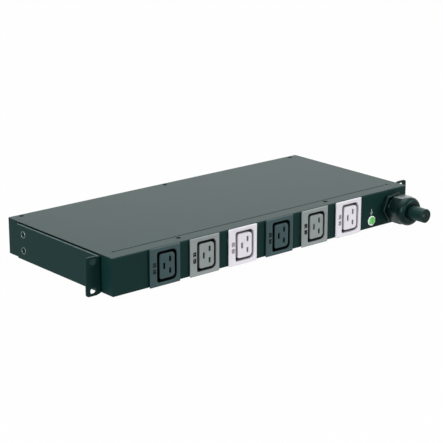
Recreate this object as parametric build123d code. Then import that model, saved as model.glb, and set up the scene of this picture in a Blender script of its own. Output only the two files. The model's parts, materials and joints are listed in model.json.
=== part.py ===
"""Rack power distribution unit, one rack unit high, with six outlets and a fixed cable.

Millimetres. +X is right seen from the front, +Y runs into the rack and +Z is up.
The origin is the centre of the four rack slots, on the back face of the ears.
"""
import os
from math import pi, sin

from build123d import *

# Case: folded sheet steel
case_width = 443.0
case_depth = 196.5
case_height = 42.5
case_rise = 0.45
sheet = 1.2
fold_radius = 1.6

# Lid and the strip that it meets along the front
strip_depth = 17.5
seam_gap = 1.3
seam_end_inset = 14.5
lid_side_gap = 0.15
relief_radius = 1.2
tongue_reach = 11.0
slip = 0.1
side_flange = 9.0
back_flange = 14.0
flange_gap = 1.0
joggle_lean = 0.3

# Lid screws
lid_thread = 3.0
lid_screw_length = 6.5
strip_screw_after_first = 30.15
strip_screw_before_last = 24.35
strip_screw_setback = 12.6
back_screw_side_inset = 14.5
back_screw_inset = 5.2
nut_wall = 1.5
nut_height = 2.2
thread_play = 0.1

# Rack brackets: ear and side arm folded from one sheet
ear_reach = 19.8
ear_height = 43.0
ear_sheet = 2.0
ear_setback = 19.0
ear_corner = 3.0
ear_fold = 3.0
ear_taper = 5.0
slot_inset = 8.75
slot_pitch_z = 31.75
slot_length = 8.0
slot_width = 6.6
arm_length = 156.0
arm_height = 40.4
bracket_thread = 4.0
bracket_screw_length = 8.0
bracket_screw_pitch = 18.7
bracket_screw_inset = 11.7

# Outlets
outlet_count = 6
outlet_pitch = 55.0
outlet_last_inset = 100.25
flange_width = 41.0
flange_height = 43.0
flange_thickness = 2.5
flange_lip = 1.1
flange_undercut = 0.8
flange_corner = 0.8
flange_edge = 0.3
mouth_offset = 2.6
island_width = 20.0
island_height = 27.6
island_keyed_corner = 4.2
island_plain_corner = 2.0
plug_gap = 3.0
shroud_wall = 1.7
shroud_depth = 13.5
shroud_play = 0.2
latch_width = 10.0
latch_rise = 1.3
latch_length = 4.5
island_skin = 2.2
pin_spacing = 13.0
pin_stagger = 8.0
pin_slot_width = 2.8
line_slot_height = 6.2
earth_slot_height = 7.0
chamber_play = 1.0
core_base = 2.2
back_thickness = 6.3

# Contacts and the sleeves pushed onto their tabs
contact_strip = 0.8
contact_spring_gap = 1.8
contact_spring_length = 10.0
tab_width = 6.3
tab_length = 8.0
tab_play = 0.2
sleeve_width = 4.8
sleeve_height = 8.4
sleeve_length = 20.0
sleeve_corner = 1.2
sleeve_gap = 0.3

# Earthing point on the front
earth_inset = 59.3
earth_drop = 11.3
earth_thread = 5.0
earth_hex = 8.0
earth_head_height = 3.2
earth_collar_width = 8.8
earth_collar = 0.7
earth_slot = 1.3
earth_screw_length = 13.0
earth_washer_width = 11.8
earth_washer_thickness = 1.0
earth_nut_height = 4.0
lug_thickness = 0.8
lug_width = 11.0

# Cable gland
gland_inset = 24.7
gland_thread = 25.0
gland_bore = 18.6
gland_panel_play = 0.3
gland_seal_width = 31.0
gland_seal_thickness = 1.2
gland_flange_hex = 33.6
gland_flange_thickness = 4.3
gland_neck_length = 18.0
gland_locknut_hex = 32.0
gland_locknut_thickness = 5.0
gland_tail = 9.0
nut_hex = 31.6
nut_start = 5.0
nut_hex_length = 13.5
nut_length = 23.3
nut_dome_width = 34.6
nut_mouth_rim = 28.0
nut_mouth = 20.2
nut_lip = 3.0
nut_taper = 2.0
nut_edge = 1.0
rubber_width = 21.0
rubber_lip = 1.6

# Cable
cable_width = 17.8
cable_wall = 2.6
cable_stub = 55.0
cable_inside = 26.0
core_width = 3.8
core_ring = 3.7
core_lane = 6.5
core_bend = 11.0
core_fan_bend = 15.0
filler_width = 3.0

# Terminal block and the wires that leave it
pole_count = 5
pole_pitch = 10.0
pole_first_depth = 84.0
block_from_gland = 46.8
block_width = 24.0
block_base = 4.2
block_top = 16.0
block_rib = 2.4
block_ear = 7.0
block_screw_thread = 3.0
bar_length = 18.0
bar_width = 7.0
bar_height = 7.6
wire_rise = 8.0
wire_width = 4.0
conductor_width = 2.6
conductor_play = 0.3
conductor_length = 7.0
clamp_thread = 3.4
clamp_inset = 4.5
clamp_length = 4.0
drop_bend = 5.0
corner_bend = 2.6
lead_width = 3.6
lead_bend = 9.0
lead_turn_depth = 36.0
lead_clearance = 0.6
saddle_width = 8.0

# Places worked out from the sizes above
front_y = -(ear_setback + ear_sheet)
wall_y = front_y + sheet
rear_y = front_y + case_depth
case_mid_z = case_rise
base_z = case_mid_z - case_height / 2
top_z = case_mid_z + case_height / 2
floor_z = base_z + sheet
half_width = case_width / 2
seam_y = front_y + strip_depth
wire_z = floor_z + wire_rise
poles_y = [front_y + pole_first_depth + i * pole_pitch for i in range(pole_count)]
outlet_last_x = half_width - outlet_last_inset
outlets_x = [outlet_last_x - (outlet_count - 1 - i) * outlet_pitch for i in range(outlet_count)]
seam_half = half_width - seam_end_inset
strip_screw_x = (outlets_x[0] + strip_screw_after_first, outlets_x[-1] - strip_screw_before_last)
back_screw_x = [side * (half_width - back_screw_side_inset) for side in (-1, 0, 1)]
slot_x = half_width + ear_reach - slot_inset
gland_x = half_width - gland_inset
earth_x = half_width - earth_inset
block_x = gland_x - block_from_gland
lead_x = block_x - block_width / 2 - lead_width / 2 - lead_clearance
saddle_x = [outlets_x[i] + outlet_pitch / 2 for i in range(0, outlet_count, 2)]
mouth_width = island_width + 2 * plug_gap
mouth_height = island_height + 2 * plug_gap
mouth_keyed_corner = island_keyed_corner + plug_gap / 2
mouth_plain_corner = island_plain_corner + plug_gap / 4
shroud_width = mouth_width + 2 * shroud_wall
shroud_height = mouth_height + 2 * shroud_wall
outlet_face_y = front_y - flange_thickness
shroud_end_y = front_y + shroud_depth
back_y = shroud_end_y + core_base
back_end_y = back_y + back_thickness
sleeve_y = back_end_y + sleeve_gap
sleeve_end_y = sleeve_y + sleeve_length
lug_y = wall_y + lug_thickness


def block(x0, x1, y0, y1, z0, z1):
    """A box between two corners."""
    return Pos((x0 + x1) / 2, (y0 + y1) / 2, (z0 + z1) / 2) * Box(x1 - x0, y1 - y0, z1 - z0)


def facing_front(x, y, z):
    """A plane at a point that looks out of the front, with X to the right and Z up."""
    return Plane(origin=(x, y, z), x_dir=(1, 0, 0), z_dir=(0, -1, 0))


def facing_side(x, y, z, side=1):
    """A plane at a point that looks out along +X, or -X where side is -1."""
    return Plane(origin=(x, y, z), x_dir=(0, side, 0), z_dir=(side, 0, 0))


def rod(x, z, y0, y1, width):
    """A round bar along Y from y0 to y1."""
    return extrude(facing_front(x, y1, z) * Circle(width / 2), y1 - y0)


def post(x, y, z0, z1, width):
    """A round bar along Z from z0 to z1."""
    return Pos(x, y, (z0 + z1) / 2) * Cylinder(width / 2, z1 - z0)


def hex_bar(x, z, y0, y1, across_flats):
    """A hexagon bar along Y with flats at top and bottom."""
    outline = facing_front(x, y1, z) * RegularPolygon(across_flats / 2, 6, major_radius=False)
    return extrude(outline, y1 - y0)


def turned(profile, location):
    """A body of revolution: profile is a closed list of (radius, height) points."""
    face = Plane.XZ * make_face(Polyline(*profile, close=True))
    return location * revolve(face, Axis.Z)


def along_y(x, y, z):
    """A location whose own Z axis looks out of the front, for turned pieces."""
    return facing_front(x, y, z).location


def one_solid(shape):
    """The single solid that a shape holds."""
    solids = shape.solids()
    if len(solids) != 1:
        raise ValueError(f"expected one solid, found {len(solids)}")
    return solids[0]


def group(shapes):
    """Several separate solids in one node."""
    return Compound(children=[one_solid(shape) for shape in shapes])


def countersunk_screw(thread, head_height, length):
    """A 90 degree countersunk screw that points down -Z, with its head's face at the origin."""
    shank = thread / 2
    head = shank + head_height
    tip = shank * 0.75
    side = [(head, 0), (shank, -head_height), (shank, -length + shank / 2), (tip, -length)]
    screw = turned([(0, 0), *side, (0, -length)], Location())
    recess_depth = head_height * 0.6
    recess_width = thread * 0.22
    for angle in (0, 90):
        bar = Pos(0, 0, -recess_depth / 2) * Box(thread * 1.05, recess_width, recess_depth)
        screw -= Rot(0, 0, angle) * bar
    return screw


def countersink(thread, head_height):
    """The hole for countersunk_screw in a sheet as thick as its head, pointing down -Z from the origin."""
    bore = thread / 2 + thread_play
    mouth = thread / 2 + head_height + thread_play
    depth = 2 * head_height
    return turned([(0, 0), (mouth, 0), (bore, -head_height), (bore, -depth), (0, -depth)], Location())


def clinch_nut(thread):
    """A nut pressed behind a sheet: its face at the origin and its body down -Z."""
    width = thread + 2 * (nut_wall + thread_play)
    return Pos(0, 0, -nut_height / 2) * (
        Cylinder(width / 2, nut_height) - Cylinder(thread / 2 + thread_play, nut_height))


def keyed_outline(width, height, keyed_corner, plain_corner):
    """A rectangle whose two right-hand corners are rounder than the left ones."""
    outline = Rectangle(width, height)
    outline = fillet(outline.vertices().group_by(Axis.X)[-1], keyed_corner)
    return fillet(outline.vertices().group_by(Axis.X)[0], plain_corner)


def wire(points, radii, width):
    """A round wire through straight runs joined by tangent bends."""
    path = FilletPolyline(*points, radius=radii) if radii else Line(*points)
    start = path @ 0
    section = Plane(origin=start, z_dir=path % 0) * Circle(width / 2)
    return sweep(section, path=path)


def outlet_place(k):
    """The x of outlet k's island and the z of its middle."""
    return outlets_x[k] + mouth_offset, case_mid_z


def contact_places(k):
    """Centre and slot height of the line, neutral and earth contacts of outlet k."""
    x, z = outlet_place(k)
    right = x + pin_stagger / 2
    left = x - pin_stagger / 2
    return [
        (right, z + pin_spacing / 2, line_slot_height),
        (right, z - pin_spacing / 2, line_slot_height),
        (left, z, earth_slot_height),
    ]


def shroud_outline(margin=0.0):
    """The outside of the shroud, grown by a margin for the hole in the case."""
    return keyed_outline(
        shroud_width + 2 * margin,
        shroud_height + 2 * margin,
        mouth_keyed_corner + shroud_wall + margin,
        mouth_plain_corner + shroud_wall + margin,
    )


def lid_screw_places():
    """Lid screws: those through the strip first, then those along the back."""
    strip = [(x, front_y + strip_screw_setback) for x in strip_screw_x]
    back = [(x, rear_y - back_screw_inset) for x in back_screw_x]
    return strip, back


def bracket_screw_places(side):
    """Locations on the outside of one bracket arm, with Z pointing out of the side."""
    x = side * (half_width + ear_sheet)
    y = front_y + ear_setback + arm_length - bracket_screw_inset
    return [facing_side(x, y, z, side).location for z in (-bracket_screw_pitch / 2, bracket_screw_pitch / 2)]


def fold_waste(start, outward, length):
    """What the outside of a fold takes off a square top edge that runs to its left from a point."""
    plane = Plane(origin=start, x_dir=outward, z_dir=outward.cross(Vector(0, 0, 1)))
    square = Rectangle(fold_radius, fold_radius, align=(Align.MAX, Align.MAX))
    return extrude(plane * (square - Pos(-fold_radius, -fold_radius) * Circle(fold_radius)), length)


def make_case():
    outer = block(-half_width, half_width, front_y, rear_y, base_z, top_z)
    hollow = block(-half_width + sheet, half_width - sheet, wall_y, rear_y - sheet, floor_z, top_z - sheet)
    inner_radius = fold_radius - sheet

    def folds(solid, edge_z):
        upright = solid.edges().filter_by(Axis.Z)
        bottom = solid.edges().group_by(Axis.Z)[0]
        front_top = solid.edges().filter_by(Axis.X).filter_by_position(Axis.Z, edge_z - 0.01, edge_z + 0.01)
        return upright + bottom + front_top.sort_by(Axis.Y)[:1]

    outer = fillet(folds(outer, top_z), fold_radius)
    hollow = fillet(folds(hollow, top_z - sheet), inner_radius)
    case = outer - hollow
    lid_seat = top_z - sheet
    case -= block(-half_width, half_width, seam_y, rear_y, lid_seat, top_z)

    flange_under = lid_seat - sheet
    inside = half_width - sheet
    flange_start = seam_y + flange_gap
    flange_end = rear_y - sheet - back_flange - flange_gap
    for side in (-1, 1):
        near, far = sorted((side * (inside - side_flange), side * (inside + inner_radius)))
        case += block(near, far, flange_start, flange_end, flange_under, lid_seat)
        fold_start = (side * half_width, flange_end if side > 0 else flange_start, lid_seat)
        case -= fold_waste(fold_start, Vector(side, 0, 0), flange_end - flange_start)
    reach = half_width - sheet - flange_gap
    back_inside = rear_y - sheet
    case += block(-reach, reach, back_inside - back_flange, back_inside + inner_radius, flange_under, lid_seat)
    case -= fold_waste((-reach, rear_y, lid_seat), Vector(0, 1, 0), 2 * reach)

    strip_screws, back_screws = lid_screw_places()
    for x, y in strip_screws:
        case -= Pos(x, y, top_z) * countersink(lid_thread, sheet)
    for x, y in back_screws:
        case -= post(x, y, flange_under, lid_seat, lid_thread + 2 * thread_play)

    cutout = shroud_outline(shroud_play)
    for k in range(outlet_count):
        x, z = outlet_place(k)
        case -= extrude(facing_front(x, wall_y, z) * cutout, sheet)
    case -= rod(gland_x, 0, front_y, wall_y, gland_thread + 2 * gland_panel_play)
    case -= rod(earth_x, -earth_drop, front_y, wall_y, earth_thread + 2 * thread_play)
    for side in (-1, 1):
        for place in bracket_screw_places(side):
            hole = Pos(0, 0, -ear_sheet - sheet / 2) * Cylinder(bracket_thread / 2 + thread_play, sheet)
            case -= place * hole
    for y in block_screw_y():
        case -= post(block_x, y, base_z, floor_z, block_screw_thread + 2 * thread_play)
    return case


def make_lid():
    lid_seat = top_z - sheet
    tight_y = seam_y + lid_side_gap
    edge_y = seam_y + seam_gap
    lid = block(-half_width, half_width, tight_y, rear_y, lid_seat, top_z)
    lid = fillet(lid.edges().filter_by(Axis.Z).group_by(Axis.Y)[-1], fold_radius)
    lid -= block(-seam_half, seam_half, tight_y, edge_y, lid_seat, top_z)
    for side in (-1, 1):
        lid -= post(side * seam_half, edge_y, lid_seat, top_z, 2 * relief_radius)

    # The tongue steps down by one sheet and runs forward under the strip
    tongue_top = lid_seat - slip
    tongue_end = seam_y - tongue_reach
    profile = Polyline(
        (edge_y + sheet, top_z),
        (edge_y, top_z),
        (edge_y - joggle_lean, tongue_top),
        (tongue_end, tongue_top),
        (tongue_end, tongue_top - sheet),
        (edge_y + sheet - joggle_lean, tongue_top - sheet),
        (edge_y + sheet, lid_seat),
        close=True,
    )
    reach = seam_half - 2 * relief_radius
    tongue = extrude(Plane.YZ.offset(-reach) * make_face(profile), 2 * reach)
    lid += tongue

    strip_screws, back_screws = lid_screw_places()
    for x, y in strip_screws:
        lid -= post(x, y, tongue_top - sheet, tongue_top, lid_thread + 2 * thread_play)
    for x, y in back_screws:
        lid -= Pos(x, y, top_z) * countersink(lid_thread, sheet)
    return lid


def make_bracket(side):
    """One bracket, drawn for the right side and mirrored for the left."""
    inside = half_width
    outside = half_width + ear_sheet
    ear_front = front_y + ear_setback
    arm_end = ear_front + arm_length
    tip = half_width + ear_reach
    lower = Polyline(
        (inside, ear_front), (tip, ear_front), (tip, ear_front + ear_sheet),
        (outside, ear_front + ear_sheet), (outside, arm_end), (inside, arm_end), close=True)
    outline = make_face(lower)
    heel = outline.vertices().sort_by_distance(Vector(inside, ear_front))[0]
    outline = fillet(heel, ear_fold)
    crook = outline.vertices().sort_by_distance(Vector(outside, ear_front + ear_sheet))[0]
    outline = fillet(crook, ear_fold - ear_sheet)
    bracket = extrude(Plane.XY.offset(-ear_height / 2) * outline, ear_height)

    # The arm is lower than the ear, with a slanted step between them
    waste = (ear_height - arm_height) / 2
    taper_start = outside + ear_taper
    for way in (-1, 1):
        step = Polyline(
            (inside - 1, way * ear_height / 2), (taper_start, way * ear_height / 2),
            (outside, way * arm_height / 2), (inside - 1, way * arm_height / 2), close=True)
        bracket -= extrude(Plane.XZ.offset(-arm_end) * make_face(step), arm_length)

    corners = bracket.edges().filter_by(Axis.Y).filter_by_position(Axis.X, tip - 0.01, tip + 0.01)
    corners = corners.sort_by(Axis.Z)
    bracket = fillet([corners[0], corners[-1]], ear_corner)
    for way in (-1, 1):
        slot = facing_front(slot_x, ear_front + ear_sheet, way * slot_pitch_z / 2)
        bracket -= extrude(slot * SlotOverall(slot_length, slot_width), ear_sheet)
    for place in bracket_screw_places(1):
        bracket -= place * countersink(bracket_thread, ear_sheet)
    return bracket if side > 0 else mirror(bracket, Plane.YZ)


def make_outlet_bezel(k):
    """The flange with its undercut edge, and the shroud that snaps into the case."""
    x, z = outlet_place(k)
    flange = RectangleRounded(flange_width, flange_height, flange_corner)
    plate = extrude(facing_front(outlets_x[k], outlet_face_y + flange_lip, z) * flange, flange_lip)
    rim = plate.faces().sort_by(Axis.Y)[0].edges()
    plate = chamfer(rim, flange_edge)
    undercut = 2 * flange_undercut
    seat = RectangleRounded(flange_width - undercut, flange_height - undercut, flange_corner)
    plate += extrude(facing_front(outlets_x[k], front_y, z) * seat, flange_thickness - flange_lip)
    bezel = plate + extrude(facing_front(x, shroud_end_y, z) * shroud_outline(), shroud_depth)
    for way in (-1, 1):
        hook = Polyline(
            (wall_y + slip, way * shroud_height / 2), (wall_y + slip, way * (shroud_height / 2 + latch_rise)),
            (wall_y + latch_length, way * shroud_height / 2), close=True)
        catch = extrude(Plane.YZ.offset(-latch_width / 2) * make_face(hook), latch_width)
        bezel += Pos(x, 0, z) * catch
    mouth = keyed_outline(mouth_width, mouth_height, mouth_keyed_corner, mouth_plain_corner)
    bezel -= extrude(facing_front(x, shroud_end_y, z) * mouth, shroud_depth + flange_thickness)
    return bezel


def make_outlet_core(k):
    x, z = outlet_place(k)
    island = keyed_outline(island_width, island_height, island_keyed_corner, island_plain_corner)
    core = extrude(facing_front(x, shroud_end_y, z) * island, shroud_depth + flange_thickness)
    core += extrude(facing_front(x, back_y, z) * shroud_outline(), core_base)
    for px, pz, slot_height in contact_places(k):
        slot = facing_front(px, outlet_face_y + island_skin, pz) * Rectangle(pin_slot_width, slot_height)
        core -= extrude(slot, island_skin)
        chamber = Rectangle(contact_outer() + chamber_play, slot_height + chamber_play)
        core -= extrude(facing_front(px, back_y, pz) * chamber, back_y - outlet_face_y - island_skin)
    return core


def make_outlet_back(k):
    x, z = outlet_place(k)
    back = extrude(facing_front(x, back_end_y, z) * shroud_outline(), back_thickness)
    for px, pz, _ in contact_places(k):
        slit = Rectangle(contact_strip + 2 * tab_play, tab_width + 2 * tab_play)
        back -= extrude(facing_front(px, back_end_y, pz) * slit, back_thickness)
    return back


def contact_outer():
    """Width over the two springs of a contact."""
    return contact_spring_gap + 2 * contact_strip


def make_contact(px, pz, slot_height):
    """Two springs on a base, with the tab behind it."""
    half = contact_outer() / 2
    low, high = pz - slot_height / 2, pz + slot_height / 2
    base_y = back_y - contact_strip
    contact = block(px - half, px + half, base_y, back_y, low, high)
    for near in (px - half, px + half - contact_strip):
        contact += block(near, near + contact_strip, base_y - contact_spring_length, base_y, low, high)
    tab_end = back_end_y + tab_length
    thin = contact_strip / 2
    contact += block(px - thin, px + thin, back_y, tab_end, pz - tab_width / 2, pz + tab_width / 2)
    return contact


def make_sleeve(px, pz):
    """An insulated push-on sleeve: a tube round the tab, closed where the wire enters."""
    outline = RectangleRounded(sleeve_width, sleeve_height, sleeve_corner)
    sleeve = extrude(facing_front(px, sleeve_end_y, pz) * outline, sleeve_length)
    pocket_end = back_end_y + tab_length + tab_play
    pocket = Rectangle(contact_strip + 2 * tab_play, tab_width + 2 * tab_play)
    return sleeve - extrude(facing_front(px, pocket_end, pz) * pocket, pocket_end - sleeve_y)


def make_earth_screw():
    """Slotted hexagon head with a collar, and a shank that points into the case."""
    seat = front_y - earth_washer_thickness
    z = -earth_drop
    screw = rod(earth_x, z, seat, seat + earth_screw_length, earth_thread)
    screw += rod(earth_x, z, seat - earth_collar, seat, earth_collar_width)
    head = hex_bar(earth_x, z, seat - earth_head_height, seat - earth_collar, earth_hex)
    head = chamfer(head.faces().sort_by(Axis.Y)[0].edges(), earth_collar / 2)
    screw += head
    depth = earth_head_height * 0.4
    screw -= block(earth_x - earth_slot / 2, earth_x + earth_slot / 2, seat - earth_head_height,
                   seat - earth_head_height + depth, z - earth_hex, z + earth_hex)
    return screw


def make_earth_washer():
    y = front_y - earth_washer_thickness
    ring = rod(earth_x, -earth_drop, y, front_y, earth_washer_width)
    ring -= rod(earth_x, -earth_drop, y, front_y, earth_thread + 2 * thread_play)
    return fillet(ring.faces().sort_by(Axis.Y)[0].outer_wire().edges(), earth_washer_thickness / 3)


def make_earth_nut():
    nut = hex_bar(earth_x, -earth_drop, lug_y, lug_y + earth_nut_height, earth_hex)
    return nut - rod(earth_x, -earth_drop, lug_y, lug_y + earth_nut_height, earth_thread + 2 * thread_play)


def lug_barrel_y():
    """Where the ring lug's barrel starts, behind its nut."""
    return lug_y + earth_nut_height + sheet


def make_earth_lug():
    """A ring on the stud with an arm that turns back over the nut and holds the lead."""
    z = -earth_drop
    far = earth_x + lug_width / 2
    arm = far + wire_width
    low, high = z - wire_width / 2, z + wire_width / 2
    lug = rod(earth_x, z, wall_y, lug_y, lug_width)
    lug += block(earth_x, arm, wall_y, lug_y, low, high)
    lug -= rod(earth_x, z, wall_y, lug_y, earth_thread + 2 * thread_play)
    lug += block(arm - lug_thickness, arm, wall_y, lug_barrel_y() + wire_width, low, high)
    return lug


def lead_start():
    """The point where the earth lead leaves its lug."""
    x = earth_x + lug_width / 2 + wire_width - lug_thickness - lead_width / 2
    return x, lug_barrel_y(), -earth_drop


def make_gland_body():
    seat = front_y - gland_seal_thickness
    flange_face = seat - gland_flange_thickness
    z = 0
    body = hex_bar(gland_x, z, flange_face, seat, gland_flange_hex)
    body = chamfer(body.faces().sort_by(Axis.Y)[0].edges(), gland_flange_thickness / 5)
    body += rod(gland_x, z, flange_face - gland_neck_length, wall_y + gland_tail, gland_thread)
    body -= rod(gland_x, z, flange_face - gland_neck_length, wall_y + gland_tail, gland_bore)
    pocket = flange_face - gland_neck_length
    return body - rod(gland_x, z, pocket, pocket + gland_neck_length / 2, rubber_width + 2 * slip)


def make_gland_seal():
    seat = front_y - gland_seal_thickness
    ring = rod(gland_x, 0, seat, front_y, gland_seal_width)
    return ring - rod(gland_x, 0, seat, front_y, gland_thread + 2 * thread_play)


def make_gland_locknut():
    end = wall_y + gland_locknut_thickness
    nut = hex_bar(gland_x, 0, wall_y, end, gland_locknut_hex)
    nut = chamfer(nut.faces().sort_by(Axis.Y)[-1].edges(), gland_locknut_thickness / 6)
    return nut - rod(gland_x, 0, wall_y, end, gland_thread + 2 * thread_play)


def gland_flange_y():
    """The front face of the gland's flange."""
    return front_y - gland_seal_thickness - gland_flange_thickness


def make_dome_nut():
    """Hexagon behind, dome in front, drawn as a turned blank with six flats."""
    rear = gland_flange_y() - nut_start
    flats_end = nut_hex_length
    corner = nut_hex / 2 / sin(pi / 3)
    dome = nut_dome_width / 2
    rim = nut_mouth_rim / 2
    edge = corner - nut_edge
    blank = Polyline((0, 0), (edge, 0), (corner, nut_edge), (corner, flats_end - nut_edge), (dome, flats_end))
    shoulder = flats_end + (nut_length - flats_end) * 0.4
    dome_side = Line((dome, flats_end), (dome, shoulder))
    round_over = TangentArc((dome, shoulder), (rim, nut_length), tangent=(0, 1))
    close_off = Polyline((rim, nut_length), (0, nut_length), (0, 0))
    face = Plane.XZ * make_face(blank + dome_side + round_over + close_off)
    nut = along_y(gland_x, rear, 0) * revolve(face, Axis.Z)
    nut -= (rod(gland_x, 0, rear - flats_end, rear, 3 * corner)
            - hex_bar(gland_x, 0, rear - flats_end, rear, nut_hex))
    inside = [
        (0, 0), (gland_thread / 2 + slip, 0), (gland_thread / 2 + slip, nut_length - nut_lip - nut_taper),
        (nut_mouth / 2, nut_length - nut_lip), (nut_mouth / 2, nut_length), (0, nut_length),
    ]
    return nut - turned(inside, along_y(gland_x, rear, 0))


def make_gland_rubber():
    """The ring squeezed onto the cable, with a lip that shows in the mouth of the nut."""
    front = gland_flange_y() - nut_start - nut_length
    back = gland_flange_y() - gland_neck_length / 2
    neck_end = gland_flange_y() - gland_neck_length
    rubber = rod(gland_x, 0, neck_end - slip, back, rubber_width)
    rubber += rod(gland_x, 0, front + rubber_lip, back, nut_mouth - 2 * slip)
    return rubber - rod(gland_x, 0, front, back, cable_width)


def cable_end_y():
    """Where the jacket is stripped, inside the case."""
    return front_y + cable_inside


def make_cable_jacket():
    tip = front_y - cable_stub
    jacket = rod(gland_x, 0, tip, cable_end_y(), cable_width)
    jacket = fillet(jacket.faces().sort_by(Axis.Y)[0].edges(), cable_wall / 3)
    return jacket - rod(gland_x, 0, tip, cable_end_y(), cable_width - 2 * cable_wall)


def core_places():
    """Centres of the cores in the cable, leftmost first."""
    ring = [Vector(core_ring, 0).rotate(Axis.Z, 90 + 360 * i / pole_count) for i in range(pole_count)]
    return sorted([(gland_x + point.X, point.Y) for point in ring])


def make_core(i):
    """One core: out of the cut end, through the jacket, fanned out over the floor and round into its pole."""
    x, z = core_places()[i]
    lane_x = gland_x + (i - (pole_count - 1) / 2) * core_lane
    loose_y = cable_end_y() + core_width
    level_y = poles_y[0] - core_bend - core_width
    bar_end = block_x + bar_length / 2
    core = wire(
        [(x, front_y - cable_stub, z), (x, loose_y, z), (lane_x, level_y, wire_z),
         (lane_x, poles_y[i], wire_z), (bar_end, poles_y[i], wire_z)],
        [core_fan_bend, core_fan_bend, core_bend],
        core_width,
    )
    return core + conductor(bar_end, poles_y[i], -1)


def block_screw_y():
    """The two screws that hold the terminal block down."""
    first = poles_y[0] - pole_pitch / 2 - block_rib / 2 - block_ear / 2
    last = poles_y[-1] + pole_pitch / 2 + block_rib / 2 + block_ear / 2
    return first, last


def make_terminal_block():
    left, right = block_x - block_width / 2, block_x + block_width / 2
    start = poles_y[0] - pole_pitch / 2 - block_rib / 2
    end = poles_y[-1] + pole_pitch / 2 + block_rib / 2
    body = block(left, right, start - block_ear, end + block_ear, floor_z, floor_z + block_base)
    for i in range(pole_count + 1):
        y = poles_y[0] + (i - 0.5) * pole_pitch
        body += block(left, right, y - block_rib / 2, y + block_rib / 2, floor_z, floor_z + block_top)
    for y in block_screw_y():
        body -= post(block_x, y, floor_z, floor_z + block_base, block_screw_thread + 2 * thread_play)
    return body


def make_block_screw(y):
    top = floor_z + block_base
    screw = post(block_x, y, base_z + slip, top, block_screw_thread)
    head = post(block_x, y, top, top + block_screw_thread * 0.7, block_screw_thread * 1.9)
    head = fillet(head.faces().sort_by(Axis.Z)[-1].edges(), block_screw_thread * 0.3)
    return screw + head


def make_bar(i):
    """A brass bar in its channel, bored along X for the wires and tapped from above."""
    y = poles_y[i]
    low = floor_z + block_base
    bar = block(block_x - bar_length / 2, block_x + bar_length / 2, y - bar_width / 2, y + bar_width / 2,
                low, low + bar_height)
    bore = Plane(origin=(block_x - bar_length / 2, y, wire_z), z_dir=(1, 0, 0))
    bar -= extrude(bore * Circle(conductor_width / 2 + conductor_play), bar_length)
    for x in clamp_x():
        bar -= post(x, y, wire_z, low + bar_height, clamp_thread + 2 * thread_play)
    return bar


def clamp_x():
    """The two clamping screws of a pole, one over each conductor."""
    offset = bar_length / 2 - clamp_inset
    return block_x - offset, block_x + offset


def make_clamp_screw(x, y):
    low = wire_z + conductor_width / 2
    screw = post(x, y, low, low + clamp_length, clamp_thread)
    slot = clamp_thread / 4
    return screw - block(x - clamp_thread, x + clamp_thread, y - slot / 2, y + slot / 2,
                         low + clamp_length - slot, low + clamp_length)


def conductor(x, y, direction):
    """The bare end of a wire inside its bar; direction is the way it points along X."""
    plane = Plane(origin=(x, y, wire_z), z_dir=(direction, 0, 0))
    return extrude(plane * Circle(conductor_width / 2), conductor_length)


def make_wiring(pole, contact, served):
    """A trunk wire from its pole to the farthest outlet, with a drop to each outlet it serves."""
    trunk_y = poles_y[pole]
    bar_end = block_x - bar_length / 2
    far = min(served)
    px, pz, _ = contact_places(far)[contact]
    rise = pz - wire_z
    bend = min(corner_bend, rise / 2 - slip)
    wiring = wire(
        [(bar_end, trunk_y, wire_z), (px, trunk_y, wire_z), (px, trunk_y, pz), (px, sleeve_end_y, pz)],
        [bend, bend],
        wire_width,
    )
    wiring += conductor(bar_end, trunk_y, 1)
    for k in served:
        if k == far:
            continue
        px, pz, _ = contact_places(k)[contact]
        bend = min(drop_bend, pz - wire_z)
        wiring += wire([(px, sleeve_end_y, pz), (px, trunk_y, pz), (px, trunk_y, wire_z)], [bend], wire_width)
    return wiring


def make_earth_wiring():
    """The earth trunk and its drops, with the lead to the stud on the front."""
    wiring = make_wiring(0, 2, range(outlet_count))
    x, y, z = lead_start()
    turn_y = front_y + lead_turn_depth
    lead = wire(
        [(x, y, z), (x, turn_y, z), (lead_x, turn_y, wire_z), (lead_x, poles_y[0], wire_z)],
        [lead_bend, lead_bend],
        lead_width,
    )
    return wiring + lead


def make_saddle(x):
    """A bar on the floor with a groove for each wire."""
    margin = pole_pitch / 2
    saddle = block(x - saddle_width / 2, x + saddle_width / 2, poles_y[0] - margin, poles_y[-1] + margin,
                   floor_z, wire_z)
    for y in poles_y:
        groove = Plane(origin=(x - saddle_width / 2, y, wire_z), z_dir=(1, 0, 0))
        saddle -= extrude(groove * Circle(wire_width / 2), saddle_width)
    return saddle


def make_lid_screws():
    strip, back = lid_screw_places()
    screws = [Pos(x, y, top_z) * countersunk_screw(lid_thread, sheet, lid_screw_length) for x, y in strip]
    screws += [Pos(x, y, top_z) * countersunk_screw(lid_thread, sheet, lid_screw_length) for x, y in back]
    return screws


def make_lid_nuts():
    strip, back = lid_screw_places()
    nuts = [Pos(x, y, top_z - 2 * sheet - slip) * clinch_nut(lid_thread) for x, y in strip]
    nuts += [Pos(x, y, top_z - 2 * sheet) * clinch_nut(lid_thread) for x, y in back]
    return nuts


def make_bracket_screws(side):
    return [place * countersunk_screw(bracket_thread, ear_sheet, bracket_screw_length)
            for place in bracket_screw_places(side)]


def make_bracket_nuts():
    depth = ear_sheet + sheet
    return [place * Pos(0, 0, -depth) * clinch_nut(bracket_thread)
            for side in (-1, 1) for place in bracket_screw_places(side)]


def make_filler():
    return rod(gland_x, 0, front_y - cable_stub, cable_end_y(), filler_width)


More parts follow.
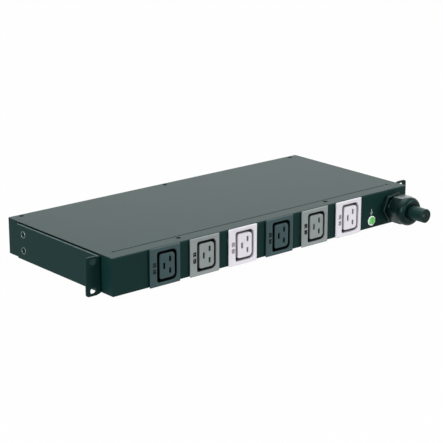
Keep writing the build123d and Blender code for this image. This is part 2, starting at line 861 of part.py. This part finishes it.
def all_nodes():
    nodes = {
        "case": make_case(),
        "lid": make_lid(),
        "rack_bracket_left": make_bracket(-1),
        "rack_bracket_right": make_bracket(1),
    }
    for k in range(outlet_count):
        nodes[f"outlet_{k + 1}_bezel"] = make_outlet_bezel(k)
        nodes[f"outlet_{k + 1}_core"] = make_outlet_core(k)
        nodes[f"outlet_{k + 1}_back"] = make_outlet_back(k)
        nodes[f"outlet_{k + 1}_contacts"] = group(make_contact(*place) for place in contact_places(k))
    places = [place for k in range(outlet_count) for place in contact_places(k)]
    nodes["push_on_sleeves"] = group(make_sleeve(px, pz) for px, pz, _ in places)
    nodes["lid_screws"] = group(make_lid_screws())
    nodes["lid_nuts"] = group(make_lid_nuts())
    nodes["bracket_screws_left"] = group(make_bracket_screws(-1))
    nodes["bracket_screws_right"] = group(make_bracket_screws(1))
    nodes["bracket_nuts"] = group(make_bracket_nuts())
    nodes["earth_screw"] = make_earth_screw()
    nodes["earth_washer"] = make_earth_washer()
    nodes["earth_nut"] = make_earth_nut()
    nodes["earth_lug"] = make_earth_lug()
    nodes["gland_body"] = make_gland_body()
    nodes["gland_seal"] = make_gland_seal()
    nodes["gland_locknut"] = make_gland_locknut()
    nodes["gland_dome_nut"] = make_dome_nut()
    nodes["gland_rubber"] = make_gland_rubber()
    nodes["cable_jacket"] = make_cable_jacket()
    nodes["cable_filler"] = make_filler()
    nodes["terminal_block"] = make_terminal_block()
    nodes["terminal_bars"] = group(make_bar(i) for i in range(pole_count))
    nodes["terminal_clamp_screws"] = group(make_clamp_screw(x, y) for y in poles_y for x in clamp_x())
    nodes["terminal_block_screws"] = group(make_block_screw(y) for y in block_screw_y())
    nodes["earth_wiring"] = make_earth_wiring()
    nodes["neutral_wiring"] = make_wiring(1, 1, range(outlet_count))
    for line in range(3):
        nodes[f"line_{line + 1}_wiring"] = make_wiring(line + 2, 0, (line, line + 3))
    nodes["wire_saddles"] = group(make_saddle(x) for x in saddle_x)
    for i, name in enumerate(("earth", "neutral", "line_1", "line_2", "line_3")):
        nodes[f"{name}_core"] = make_core(i)
    return nodes


os.makedirs("parts", exist_ok=True)
for name, shape in all_nodes().items():
    export_step(shape if isinstance(shape, Compound) and len(shape.solids()) > 1 else one_solid(shape),
                os.path.join("parts", f"{name}.step"))
    print(name, len(shape.solids()), "solid(s)", round(sum(s.volume for s in shape.solids()), 1), "mm3")
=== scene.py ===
"""Looks of the rack power distribution unit: camera, light, finishes and the pieces finer than the CAD."""

import json
import math

import bpy
from mathutils import Matrix, Vector


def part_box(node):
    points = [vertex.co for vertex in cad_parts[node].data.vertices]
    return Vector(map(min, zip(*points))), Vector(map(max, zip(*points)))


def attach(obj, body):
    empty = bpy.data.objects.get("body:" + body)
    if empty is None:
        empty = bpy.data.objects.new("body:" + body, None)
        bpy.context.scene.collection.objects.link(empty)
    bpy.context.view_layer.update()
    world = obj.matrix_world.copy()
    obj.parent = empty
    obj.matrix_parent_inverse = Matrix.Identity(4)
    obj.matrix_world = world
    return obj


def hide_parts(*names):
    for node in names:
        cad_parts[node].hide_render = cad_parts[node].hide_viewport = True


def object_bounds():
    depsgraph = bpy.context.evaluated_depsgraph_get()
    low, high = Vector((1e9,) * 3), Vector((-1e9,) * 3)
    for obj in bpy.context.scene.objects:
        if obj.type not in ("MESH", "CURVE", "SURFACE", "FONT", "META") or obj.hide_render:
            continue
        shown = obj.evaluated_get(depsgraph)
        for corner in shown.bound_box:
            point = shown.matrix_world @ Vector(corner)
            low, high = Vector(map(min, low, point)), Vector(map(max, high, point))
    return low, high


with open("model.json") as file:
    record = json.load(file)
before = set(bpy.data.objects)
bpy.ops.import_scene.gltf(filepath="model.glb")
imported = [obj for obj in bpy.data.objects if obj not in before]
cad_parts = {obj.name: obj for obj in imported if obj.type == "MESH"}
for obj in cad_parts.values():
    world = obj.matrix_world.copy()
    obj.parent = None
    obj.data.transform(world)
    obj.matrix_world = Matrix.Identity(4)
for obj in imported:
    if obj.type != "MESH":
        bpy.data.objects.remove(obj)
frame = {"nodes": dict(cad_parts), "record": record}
cad_box = [list(map(float, corner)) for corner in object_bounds()]
mm = 0.001

# Where things are, in metres, read from the frame where it gives them
front_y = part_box("case")[0][1]
gland_x = sum(c[0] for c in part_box("gland_seal")) / 2
gland_z = sum(c[2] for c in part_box("gland_seal")) / 2
cable_tip_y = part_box("cable_jacket")[0][1]
earth_x = sum(c[0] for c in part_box("earth_screw")) / 2
outlet_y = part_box("outlet_1_bezel")[0][1]
lid_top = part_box("lid")[1][2]
seam_y = -2.85 * mm
seam_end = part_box("case")[1][0] - 13.5 * mm
arm_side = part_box("case")[1][0] + 2 * mm
arm_top = 20.2 * mm
ear_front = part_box("rack_bracket_left")[0][1]
arm_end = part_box("rack_bracket_left")[1][1]
floor_z = min(corner[2] for corner in cad_box)


def fresh():
    """Object mode with nothing selected."""
    if bpy.context.object and bpy.context.object.mode != "OBJECT":
        bpy.ops.object.mode_set(mode="OBJECT")
    bpy.ops.object.select_all(action="DESELECT")


def hold(piece):
    """Makes one object the selected and active one."""
    fresh()
    piece.select_set(True)
    bpy.context.view_layer.objects.active = piece
    return piece


def finish_with(piece, kind, **settings):
    """Adds a modifier, sets it and applies it."""
    hold(piece)
    modifier = piece.modifiers.new(kind.title(), kind)
    for name, value in settings.items():
        setattr(modifier, name, value)
    bpy.ops.object.modifier_apply(modifier=modifier.name)


def place_in_mesh(piece):
    """Puts the object at the origin, with its place in its mesh."""
    hold(piece)
    bpy.ops.object.transform_apply(location=True, rotation=True, scale=True)


def smooth(piece, degrees=30):
    hold(piece)
    bpy.ops.object.shade_smooth_by_angle(angle=math.radians(degrees))


class Value:
    """A socket in a material's maths: operators on it add the nodes."""

    def __init__(self, paint, socket):
        self.paint = paint
        self.socket = socket

    def maths(self, operation, *others):
        return self.paint.node("Math", {"operation": operation}, {i: v for i, v in enumerate(others)})

    def __add__(self, other):
        return self.maths("ADD", self, other)

    def __mul__(self, other):
        return self.maths("MULTIPLY", self, other)

    def over(self, edge):
        return self.maths("GREATER_THAN", self, edge)

    def under(self, edge):
        return self.maths("LESS_THAN", self, edge)

    __radd__ = __add__
    __rmul__ = __mul__


class Paint:
    """One material, with its nodes added by name."""

    def __init__(self, name, **constants):
        self.material = bpy.data.materials.new(name)
        self.material.use_nodes = True
        self.tree = self.material.node_tree
        self.shader = self.tree.nodes["Principled BSDF"]
        self.where = self.node("TexCoord", {}, {}, "Object")
        for socket, value in constants.items():
            self.set(socket, value)

    def node(self, kind, settings, inputs, output=0):
        """One node of a kind, with its settings first and then the values or links of its sockets."""
        node = self.tree.nodes.new("ShaderNode" + kind)
        for name, value in settings.items():
            if name == "stops":
                for i, (place, colour) in enumerate(value):
                    stop = node.color_ramp.elements[i] if i < 2 else node.color_ramp.elements.new(place)
                    stop.position = place
                    stop.color = (*colour, 1)
            else:
                setattr(node, name, value)
        for socket, value in inputs.items():
            self.join(node.inputs[socket], value)
        return Value(self, node.outputs[output])

    def join(self, socket, value):
        if isinstance(value, Value):
            self.tree.links.new(value.socket, socket)
        elif isinstance(value, tuple) and len(value) == 3 and socket.type == "RGBA":
            socket.default_value = (*value, 1)
        else:
            socket.default_value = value

    def set(self, socket, value):
        self.join(self.shader.inputs[socket.replace("_", " ").title().replace("Ior", "IOR")], value)

    def noise(self, size, detail=2.0, where=None, rough=0.5):
        """Noise with lumps of a size in metres."""
        return self.node("TexNoise", {}, {"Vector": where or self.where, "Scale": 1 / size, "Detail": detail,
                                          "Roughness": rough})

    def mix(self, factor, low, high):
        return self.node("Mix", {"data_type": "RGBA"}, {"Factor": factor, 6: low, 7: high}, 2)

    def axis(self, letter):
        return self.node("SeparateXYZ", {}, {"Vector": self.where}, "XYZ".index(letter))

    def relief(self, height, depth, edge=0.0):
        """Bump of a depth in metres, over edges rounded by a radius in metres."""
        inputs = {"Height": height, "Distance": depth, "Strength": 1.0}
        if edge:
            inputs["Normal"] = self.node("Bevel", {"samples": 8}, {"Radius": edge})
        self.set("Normal", self.node("Bump", {}, inputs))


def powder_coat(name="case_powder_coat", highlight_above=None):
    """Dark green-black powder coat with a fine pebbled skin.

    The brackets' coat has a painted highlight: it is coloured lighter on its outer edge above a height,
    where the arm's top edge catches the light. The case's has painted shade, near-black and rough, in the
    crease over the bracket's arm and in the seam in front of the lid.
    """
    paint = Paint(name, metallic=0.0, specular_ior_level=0.07)
    pebble = paint.noise(0.7 * mm, 3.0)
    cloud = paint.noise(60 * mm, 3.0)
    colour = paint.mix(cloud, (0.0028, 0.0190, 0.0178), (0.0038, 0.0218, 0.0204))
    across = paint.axis("X")
    across = across.maths("ABSOLUTE", across)
    behind_ear = paint.axis("Y").over(ear_front + 3.5 * mm)
    rough = 0.46 + 0.10 * pebble
    if highlight_above:
        # Painted highlight: the bracket's outer top edge is coloured light where it catches the light.
        edge = paint.axis("Z").over(highlight_above) * across.over(arm_side - 0.25 * mm) * behind_ear
        colour = paint.mix(edge, colour, (0.105, 0.140, 0.140))
    else:
        # Painted shade: near-black and rough in the crease over the bracket's arm and in the seam in front of
        # the lid.
        height = paint.axis("Z")
        crease = height.over(arm_top - 0.1 * mm) * height.under(arm_top + 1.3 * mm)
        crease = crease * across.over(arm_side - 3.5 * mm) * behind_ear * paint.axis("Y").under(arm_end)
        seam = height.over(lid_top - 2.2 * mm) * height.under(lid_top - 0.12 * mm) * across.under(seam_end)
        seam = seam * paint.axis("Y").over(seam_y - 2 * mm) * paint.axis("Y").under(seam_y + 2 * mm)
        dark = crease.maths("MAXIMUM", crease, seam)
        colour = paint.mix(dark, colour, (0.0003, 0.001, 0.001))
        rough = rough + 0.44 * dark
    paint.set("Base Color", colour)
    paint.set("Roughness", rough)
    paint.relief(pebble, 0.030 * mm, 0.5 * mm)
    return paint.material


def moulding(name, low, high, rough=0.42, grain=0.010 * mm, gloss=0.25, edge=0.35 * mm, recess_shade=None,
             sunk=1.5 * mm, tint=(1, 1, 1)):
    """A moulded plastic with a fine spark-eroded skin and faint flow clouds.

    An outlet also has painted shade: everything set back from its face, in the mouth and on the flange's
    sides, fades to a darker colour, which it reaches at the depth sunk.
    """
    paint = Paint(name, metallic=0.0, specular_ior_level=gloss, specular_tint=tint)
    skin = paint.noise(0.35 * mm, 2.0)
    cloud = paint.noise(14 * mm, 2.0)
    colour = paint.mix(cloud, low, high)
    # Painted shade: the colour darkens with depth behind the outlet's face.
    if recess_shade:
        depth = paint.node("MapRange", {"interpolation_type": "SMOOTHSTEP"}, {
            "Value": paint.axis("Y"), "From Min": outlet_y + 0.15 * mm, "From Max": outlet_y + sunk})
        colour = paint.mix(depth, colour, recess_shade)
    paint.set("Base Color", colour)
    paint.set("Roughness", rough + 0.08 * skin)
    paint.relief(skin, grain, edge)
    return paint.material


def metal(name, low, high, rough=0.28, brush=0.15 * mm):
    """A plated metal with fine brushing and faint stains."""
    paint = Paint(name, metallic=1.0)
    stain = paint.noise(3 * mm, 4.0)
    grain = paint.noise(brush, 3.0)
    paint.set("Base Color", paint.mix(stain, low, high))
    paint.set("Roughness", rough + 0.16 * grain)
    paint.relief(grain, 0.006 * mm, 0.15 * mm)
    return paint.material


def green_coat():
    """The glossy green coat of the earth screw over metal."""
    paint = Paint("earth_screw_green_coat", metallic=0.35, coat_weight=0.6, coat_roughness=0.12)
    cloud = paint.noise(2 * mm, 3.0)
    paint.set("Base Color", paint.mix(cloud, (0.09, 0.48, 0.08), (0.14, 0.62, 0.13)))
    paint.set("Roughness", 0.22 + 0.12 * cloud)
    paint.relief(cloud, 0.02 * mm, 0.2 * mm)
    return paint.material


def striped_wire():
    """Green insulation with a yellow stripe."""
    paint = Paint("earth_wire_green_yellow")
    stripe = paint.noise(5 * mm, 0.0).over(0.52)
    skin = paint.noise(0.8 * mm)
    paint.set("Base Color", dark_mottled_cut_end(paint, paint.mix(stripe, (0.02, 0.25, 0.05), (0.75, 0.62, 0.03))))
    paint.set("Roughness", 0.35 + 0.1 * skin)
    return paint.material


def dark_mottled_cut_end(paint, clean):
    """A cable part's colour, made dark and mottled on its cut end."""
    cut = paint.axis("Y").under(cable_tip_y + 1.2 * mm)
    speck = paint.noise(1.1 * mm, 4.0, rough=0.7)
    mottle = paint.node("ValToRGB", {"stops": [(0.42, (0.002, 0.006, 0.006)), (0.62, (0.012, 0.026, 0.023))]},
                        {"Fac": speck})
    return paint.mix(cut, clean, mottle)


def cable_part(name, clean, rough=0.5):
    """Insulation or sheath, darkened on its cut end."""
    paint = Paint(name, specular_ior_level=0.16, specular_tint=(0.5, 1, 1))
    skin = paint.noise(0.9 * mm, 3.0)
    paint.set("Base Color", dark_mottled_cut_end(paint, clean))
    paint.set("Roughness", rough + 0.14 * skin)
    paint.relief(skin, 0.05 * mm)
    return paint.material


outlet_edge = 0.15 * mm
black_plastic = (0.022, 0.050, 0.054), (0.027, 0.057, 0.061)
grey_plastic = (0.208, 0.236, 0.235), (0.230, 0.258, 0.257)
white_plastic = (0.63, 0.61, 0.66), (0.67, 0.65, 0.70)
finishes = {
    "case_paint": powder_coat(),
    # Each outlet's last colour is its painted shade, deep in the mouth.
    "black_outlet": moulding("black_outlet_moulding", *black_plastic, edge=outlet_edge,
                             recess_shade=(0.0010, 0.0020, 0.0024)),
    "grey_outlet": moulding("grey_outlet_moulding", *grey_plastic, edge=outlet_edge,
                            recess_shade=(0.010, 0.013, 0.013), sunk=3 * mm),
    "white_outlet": moulding("white_outlet_moulding", *white_plastic, edge=outlet_edge,
                             recess_shade=(0.11, 0.11, 0.12), sunk=4.8 * mm),
    "outlet_back": moulding("outlet_back_moulding", (0.008, 0.010, 0.011), (0.012, 0.014, 0.015)),
    "contact_brass": metal("contact_brass", (0.55, 0.40, 0.16), (0.66, 0.50, 0.22)),
    "wire_sleeve": moulding("red_wire_sleeve", (0.40, 0.03, 0.02), (0.48, 0.04, 0.03)),
    "zinc_steel": metal("zinc_plated_steel", (0.26, 0.31, 0.31), (0.36, 0.42, 0.42)),
    "black_screw": moulding("black_zinc_screw", (0.002, 0.004, 0.004), (0.004, 0.007, 0.007), 0.60,
                            0.010 * mm, 0.0),
    "green_screw": green_coat(),
    "tinned_lug": metal("tinned_copper", (0.62, 0.62, 0.60), (0.70, 0.70, 0.68)),
    "gland_green": moulding("gland_dark_green_nylon", (0.0007, 0.0048, 0.0045), (0.0011, 0.0062, 0.0058),
                            0.30, 0.012 * mm, 0.20, 0.4 * mm, tint=(0.5, 1, 1)),
    "gland_rubber": moulding("gland_black_rubber", (0.004, 0.007, 0.007), (0.007, 0.010, 0.010), 0.62,
                             0.03 * mm, 0.3),
    "cable_sheath": cable_part("cable_sheath_rubber", (0.002, 0.014, 0.013), 0.42),
    "cable_filler": cable_part("cable_filler_fibre", (0.10, 0.10, 0.09), 0.8),
    "terminal_plastic": moulding("terminal_polyamide", (0.62, 0.58, 0.46), (0.70, 0.66, 0.54)),
    "earth_wire": striped_wire(),
    "neutral_wire": cable_part("neutral_wire_blue", (0.02, 0.08, 0.42)),
    "brown_wire": cable_part("line_wire_brown", (0.12, 0.04, 0.015)),
    "black_wire": cable_part("line_wire_black", (0.006, 0.006, 0.006)),
    "grey_wire": cable_part("line_wire_grey", (0.18, 0.18, 0.19)),
}


def dress(piece, material):
    """Gives the piece this one finish."""
    piece.data.materials.clear()
    piece.data.materials.append(material)


for entry in frame["record"]["subparts"]:
    dress(frame["nodes"][entry["node"]], finishes[entry["material_slot"]])
slot_of = {entry["node"]: entry["material_slot"] for entry in frame["record"]["subparts"]}


def settle(piece, slot, degrees=30):
    """What every new piece gets: its smooth shading, its body, and the finish of its slot unless it has one.
    """
    place_in_mesh(piece)
    smooth(piece, degrees)
    if slot in finishes and not piece.data.materials:
        dress(piece, finishes[slot])
    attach(piece, "root")
    return piece


def rounded(node, radius, segments=2, corner=30, reshape=None):
    """A copy of a CAD piece, faces joined up and sharp edges rounded, which stands for the piece."""
    piece = frame["nodes"][node].copy()
    piece.data = piece.data.copy()
    piece.name = node + "_rounded"
    bpy.context.scene.collection.objects.link(piece)
    hold(piece)
    bpy.ops.object.mode_set(mode="EDIT")
    bpy.ops.mesh.select_all(action="SELECT")
    bpy.ops.mesh.remove_doubles(threshold=0.002 * mm)
    bpy.ops.object.mode_set(mode="OBJECT")
    if reshape:
        for point in piece.data.vertices:
            reshape(point.co)
    finish_with(piece, "BEVEL", width=radius, segments=segments, limit_method="ANGLE",
                angle_limit=math.radians(corner), use_clamp_overlap=True, miter_outer="MITER_ARC")
    settle(piece, slot_of[node])
    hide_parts(node)
    return piece


# The outlets' printed figures: their height, how far they are thickened, and how far they lie from the middle
figure_height = 5.2 * mm
figure_boldness = 0.46 * mm
figure_lift = 0.02 * mm
figures_aside = 14.25 * mm
figures_low_z = -3.33 * mm
figures_high_z = 4.1 * mm
# The rim of an outlet's mouth: how much wider and higher than in the CAD, and how far it is moved
mouth_wider = 1.045
mouth_higher = 1.028
mouth_shift_x = 0.22 * mm
mouth_shift_z = 0.15 * mm


def label(text, x, z, name):
    """Figures printed on an outlet's face, read upwards."""
    bpy.ops.object.select_all(action="DESELECT")
    bpy.ops.object.text_add(location=(x, outlet_y - figure_lift, z),
                            rotation=(math.radians(90), math.radians(-90), 0))
    words = bpy.context.object
    words.name = name
    words.data.body = text
    words.data.align_x = "CENTER"
    words.data.align_y = "CENTER"
    words.data.size = figure_height
    words.data.extrude = 0.04 * mm
    words.data.offset = figure_boldness
    words.data.resolution_u = 4
    hold(words)
    bpy.ops.object.convert(target="MESH")
    return words


def flared_mouth(middle_x, middle_z):
    """Opens the rim of an outlet's mouth a little, so that its walls draw in towards the contacts."""
    inside_x, inside_z = 14.5 * mm, 18.0 * mm

    def reshape(point):
        dx, dz = point.x - middle_x, point.z - middle_z
        if point.y < outlet_y + 0.01 * mm and abs(dx) < inside_x and abs(dz) < inside_z:
            point.x = middle_x - mouth_shift_x + dx * mouth_wider
            point.z = middle_z - mouth_shift_z + dz * mouth_higher

    return reshape


ink = moulding("label_ink_dark", (0.002, 0.003, 0.003), (0.004, 0.005, 0.005), 0.5, 0.004 * mm, 0.1, 0)
grey_ink = moulding("label_ink_grey", (0.20, 0.18, 0.20), (0.25, 0.23, 0.25), 0.5, 0.004 * mm, 0.3, 0)
for number in range(1, 7):
    outlet = f"outlet_{number}"
    low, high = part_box(f"{outlet}_bezel")
    x = (low[0] + high[0]) / 2 - figures_aside
    for part, text, z in (("low", f"0{number}", figures_low_z), ("high", f"2{number}", figures_high_z)):
        figures = label(text, x, z, f"{outlet}_label_{part}")
        dress(figures, grey_ink if number in (3, 6) else ink)
        settle(figures, slot_of[f"{outlet}_bezel"])
    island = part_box(f"{outlet}_core")
    mouth = flared_mouth((island[0][0] + island[1][0]) / 2, (island[0][2] + island[1][2]) / 2)
    rounded(f"{outlet}_bezel", outlet_edge, reshape=mouth)
    rounded(f"{outlet}_core", outlet_edge)


def earth_mark():
    """The earth sign over the screw: a stem and three bars, printed in pale grey."""
    above_washer = 3.1 * mm
    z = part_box("earth_washer")[1][2] + above_washer
    white = moulding("earth_mark_white", (0.34, 0.37, 0.37), (0.42, 0.45, 0.45), 0.5, 0.004 * mm, 0.3, 0)
    # Height over the middle of the sign, half the width, half the height, in millimetres
    bars = [(2.9, 0.4, 2.3), (0.7, 2.4, 0.38), (-0.5, 1.6, 0.38), (-1.7, 0.8, 0.38)]
    made = []
    for rise, half_x, half_z in bars:
        fresh()
        bpy.ops.mesh.primitive_cube_add(size=1, location=(earth_x, front_y - 0.02 * mm, z + rise * mm),
                                        scale=(2 * half_x * mm, 0.06 * mm, 2 * half_z * mm))
        made.append(bpy.context.object)
    hold(made[0])
    for bar in made[1:]:
        bar.select_set(True)
    bpy.ops.object.join()
    mark = bpy.context.object
    mark.name = "earth_mark"
    finish_with(mark, "BEVEL", width=0.015 * mm, segments=1)
    dress(mark, white)
    settle(mark, "case_paint")


earth_mark()


def gland_thread():
    """The thread on the gland's neck, seen in the gap behind the nut: one zigzag turned into a helix."""
    root = 12.4 * mm
    crest = root + 0.35 * mm
    pitch = 1.5 * mm
    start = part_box("gland_dome_nut")[1][1] - 0.5 * mm
    fresh()
    bpy.ops.mesh.primitive_plane_add(size=pitch, location=(0, 0, 0))
    thread = bpy.context.object
    thread.name = "gland_neck_thread"
    bpy.ops.object.mode_set(mode="EDIT")
    bpy.ops.mesh.delete(type="ONLY_FACE")
    bpy.ops.object.mode_set(mode="OBJECT")
    corners = ((root, start), (crest, start + pitch / 2), (root, start + pitch))
    thread.data.clear_geometry()
    thread.data.from_pydata([(r, y, 0) for r, y in corners], [(0, 1), (1, 2)], [])
    finish_with(thread, "SCREW", axis="Y", angle=2 * math.pi, screw_offset=pitch, iterations=4, steps=48,
                render_steps=48, use_merge_vertices=True)
    thread.location = (gland_x, 0, gland_z)
    settle(thread, "gland_green", 20)


gland_thread()


def cable_sheath():
    """The cable stub's sheath: a tube with faint lay marks from its cores and a softened cut."""
    low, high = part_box("cable_jacket")
    radius = (high[0] - low[0]) / 2
    length = high[1] - low[1]
    wall = 2.6 * mm
    lay_depth = 0.07 * mm
    cut_radius = 1.4 * mm
    fresh()
    bpy.ops.mesh.primitive_cylinder_add(vertices=96, radius=radius, depth=length, end_fill_type="NOTHING",
                                        location=(gland_x, (low[1] + high[1]) / 2, gland_z),
                                        rotation=(math.radians(90), 0, 0))
    sheath = bpy.context.object
    sheath.name = "cable_sheath_tube"
    place_in_mesh(sheath)
    bpy.ops.object.mode_set(mode="EDIT")
    bpy.ops.mesh.select_all(action="SELECT")
    bpy.ops.mesh.subdivide_edgering(number_cuts=60, smoothness=0)
    bpy.ops.object.mode_set(mode="OBJECT")
    finish_with(sheath, "SOLIDIFY", thickness=wall, offset=-1)
    for corner in sheath.data.vertices:
        out = Vector((corner.co.x - gland_x, 0, corner.co.z - gland_z))
        if out.length < radius - wall / 2:
            continue
        depth = corner.co.y - low[1]
        turn = math.atan2(out.z, out.x)
        lay = lay_depth * (math.cos(5 * turn + 90 * depth) - 1)
        soften = -0.5 * mm * max(0.0, 1 - depth / cut_radius) ** 2
        corner.co += out.normalized() * (lay + soften)
    settle(sheath, "cable_sheath", 60)
    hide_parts("cable_jacket")


def cable_bedding():
    """The filling between the cores, level with their cut ends, with the cores' places cut out of it."""
    low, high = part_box("cable_jacket")
    radius = (high[0] - low[0]) / 2 - 2.55 * mm
    length = 6 * mm
    behind_cut = 0.15 * mm
    fresh()
    bpy.ops.mesh.primitive_cylinder_add(vertices=64, radius=radius, depth=length,
                                        location=(gland_x, low[1] + behind_cut + length / 2, gland_z),
                                        rotation=(math.radians(90), 0, 0))
    bedding = bpy.context.object
    bedding.name = "cable_bedding"
    place_in_mesh(bedding)
    for core in ("earth_core", "neutral_core", "line_1_core", "line_2_core", "line_3_core", "cable_filler"):
        finish_with(bedding, "BOOLEAN", object=frame["nodes"][core], operation="DIFFERENCE", solver="EXACT")
    dress(bedding, finishes["cable_filler"])
    settle(bedding, "cable_filler")


cable_sheath()
cable_bedding()
flange_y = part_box("gland_seal")[0][1]
flange_turn = Matrix.Rotation(math.radians(-7), 3, "Y") * 0.97


def turned_flange(point):
    """Turns the hexagon flange of the gland as it sits in the photograph."""
    out = Vector((point.x - gland_x, 0, point.z - gland_z))
    if point.y < flange_y + 0.01 * mm and out.length > 14 * mm:
        out = flange_turn @ out
        point.x = gland_x + out.x
        point.z = gland_z + out.z


rounded("gland_body", 0.2 * mm, reshape=turned_flange)
rounded("gland_dome_nut", 0.35 * mm, 3, 20)
washer_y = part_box("earth_washer")[0][1]


def screw_edge_highlight(number, x, y, z):
    """A bright zinc ring on a bracket screw's countersink edge: a painted highlight on that edge."""
    fresh()
    bpy.ops.mesh.primitive_torus_add(major_radius=3.75 * mm, minor_radius=0.22 * mm, major_segments=48,
                                     minor_segments=8, location=(x, y, z),
                                     rotation=(0, math.radians(90), 0))
    rim = bpy.context.object
    rim.name = f"bracket_screw_rim_{number}"
    dress(rim, finishes["zinc_steel"])
    settle(rim, "case_paint", 60)


# The brackets' coat, with a painted highlight along the top edge of the arm.
bracket_coat_with_highlight = powder_coat("bracket_powder_coat", arm_top - 0.9 * mm)
for side in ("left", "right"):
    low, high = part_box(f"bracket_screws_{side}")
    outside = low[0] if side == "left" else high[0]
    head = (high[1] - low[1]) / 2
    for number, z in enumerate((low[2] + head, high[2] - head), 1):
        screw_edge_highlight(f"{side}_{number}", outside, (low[1] + high[1]) / 2, z)
    dress(frame["nodes"][f"rack_bracket_{side}"], bracket_coat_with_highlight)
    dress(frame["nodes"][f"bracket_screws_{side}"], finishes["case_paint"])


def low_head(point):
    """Flattens the earth screw's head to the low one in the photograph."""
    share_left = 0.4
    if point.y < washer_y:
        point.y = washer_y + share_left * (point.y - washer_y)


rounded("earth_screw", 0.15 * mm, reshape=low_head)
washer = rounded("earth_washer", 0.1 * mm)
bright_zinc = moulding("earth_washer_bright_zinc", (0.78, 0.84, 0.80), (0.90, 0.95, 0.92), 0.35,
                       0.006 * mm, 0.6)
dress(washer, bright_zinc)

# Camera, solved from the photograph's straight edges
eye = Vector((-1.10607, -1.22835, 0.51145))
forward = Vector((0.62246545, 0.72764466, -0.28821869))
right = Vector((0.76021513, -0.6496693, 0.00166282))
up = Vector((0.18603689, 0.22014326, 0.95756317))
camera = bpy.data.objects.new("camera", bpy.data.cameras.new("camera"))
bpy.context.scene.collection.objects.link(camera)
camera.matrix_world = Matrix.Translation(eye) @ Matrix((right, up, -forward)).transposed().to_4x4()
camera.data.lens = 123.73
camera.data.sensor_width = 36.0
camera.data.clip_start = 0.05
camera.data.clip_end = 50
bpy.context.scene.camera = camera


def soft_light(name, place, target, size, watts):
    """A round white softbox at a place, turned to a target."""
    lamp = bpy.data.lights.new(name, "AREA")
    lamp.shape = "DISK"
    lamp.size = size
    lamp.energy = watts
    holder = bpy.data.objects.new(name, lamp)
    holder.location = place
    holder.rotation_euler = (Vector(target) - Vector(place)).to_track_quat("-Z", "Y").to_euler()
    bpy.context.scene.collection.objects.link(holder)


soft_light("overhead_softbox", (0.1, 0.5, 1.6), (0, 0.05, 0), 1.6, 20)
soft_light("front_left_softbox", (-0.9, -1.6, 1.1), (0, 0, 0), 1.0, 8)
soft_light("left_softbox", (-1.8, -0.2, 0.6), (-0.2, 0, 0), 0.8, 24)
soft_light("back_softbox", (2.5, 2.9, 1.15), (0, 0, 0), 3.0, 48)
soft_light("front_right_softbox", (1.1, -1.5, 0.9), (0.1, 0, 0), 0.8, 26)


def studio():
    """White all round for the camera and in reflections, over a paper floor.

    The world's soft light on the object comes mostly from behind it.
    """
    world = bpy.data.worlds.new("studio")
    bpy.context.scene.world = world
    world.use_nodes = True
    tree = world.node_tree
    plain = tree.nodes["Background"]
    plain.inputs["Color"].default_value = (1, 1, 1, 1)
    way = tree.nodes.new("ShaderNodeTexCoord")
    facing = tree.nodes.new("ShaderNodeVectorMath")
    facing.operation = "DOT_PRODUCT"
    facing.inputs[1].default_value = (forward.x, forward.y, -forward.z)
    tree.links.new(way.outputs["Generated"], facing.inputs[0])
    behind = tree.nodes.new("ShaderNodeMapRange")
    behind.interpolation_type = "SMOOTHSTEP"
    for socket, value in (("From Min", 0.15), ("From Max", 0.90), ("To Min", 0.12), ("To Max", 2.3)):
        behind.inputs[socket].default_value = value
    tree.links.new(facing.outputs["Value"], behind.inputs["Value"])
    tree.links.new(behind.outputs[0], plain.inputs["Strength"])
    seen = tree.nodes.new("ShaderNodeBackground")
    seen.inputs["Color"].default_value = (1, 1, 1, 1)
    rays = tree.nodes.new("ShaderNodeLightPath")
    either = rays.outputs["Is Camera Ray"]
    for kind in ("Is Glossy Ray", "Is Transmission Ray"):
        larger = tree.nodes.new("ShaderNodeMath")
        larger.operation = "MAXIMUM"
        tree.links.new(either, larger.inputs[0])
        tree.links.new(rays.outputs[kind], larger.inputs[1])
        either = larger.outputs[0]
    mix = tree.nodes.new("ShaderNodeMixShader")
    tree.links.new(either, mix.inputs[0])
    tree.links.new(plain.outputs[0], mix.inputs[1])
    tree.links.new(seen.outputs[0], mix.inputs[2])
    tree.links.new(mix.outputs[0], tree.nodes["World Output"].inputs[0])

    fresh()
    bpy.ops.mesh.primitive_plane_add(size=30, location=(0, 0, floor_z))
    floor = bpy.context.object
    floor.name = "floor"
    paper = Paint("floor_paper", base_color=(0.35, 0.35, 0.35), roughness=0.9, specular_ior_level=0.1)
    tree = paper.tree
    white = tree.nodes.new("ShaderNodeEmission")
    white.inputs["Strength"].default_value = 1.0
    rays = paper.node("LightPath", {}, {}, "Is Camera Ray")
    for kind in ("Is Glossy Ray", "Is Transmission Ray"):
        rays = rays.maths("MAXIMUM", rays, paper.node("LightPath", {}, {}, kind))
    # Painted light: for the object's diffuse light the floor glows, dim in front of the object and bright
    # behind it.
    lit = paper.node("MapRange", {"interpolation_type": "SMOOTHSTEP"}, {
        "Value": paper.axis("Y"), "From Min": -0.070, "From Max": -0.045, "To Min": 0.10, "To Max": 0.9})
    mix = tree.nodes.new("ShaderNodeMixShader")
    tree.links.new(rays.maths("MAXIMUM", rays * 0.98, lit).socket, mix.inputs[0])
    tree.links.new(paper.shader.outputs[0], mix.inputs[1])
    tree.links.new(white.outputs[0], mix.inputs[2])
    tree.links.new(mix.outputs[0], tree.nodes["Material Output"].inputs[0])
    dress(floor, paper.material)


studio()
bpy.context.scene.view_settings.view_transform = "Standard"
fresh()
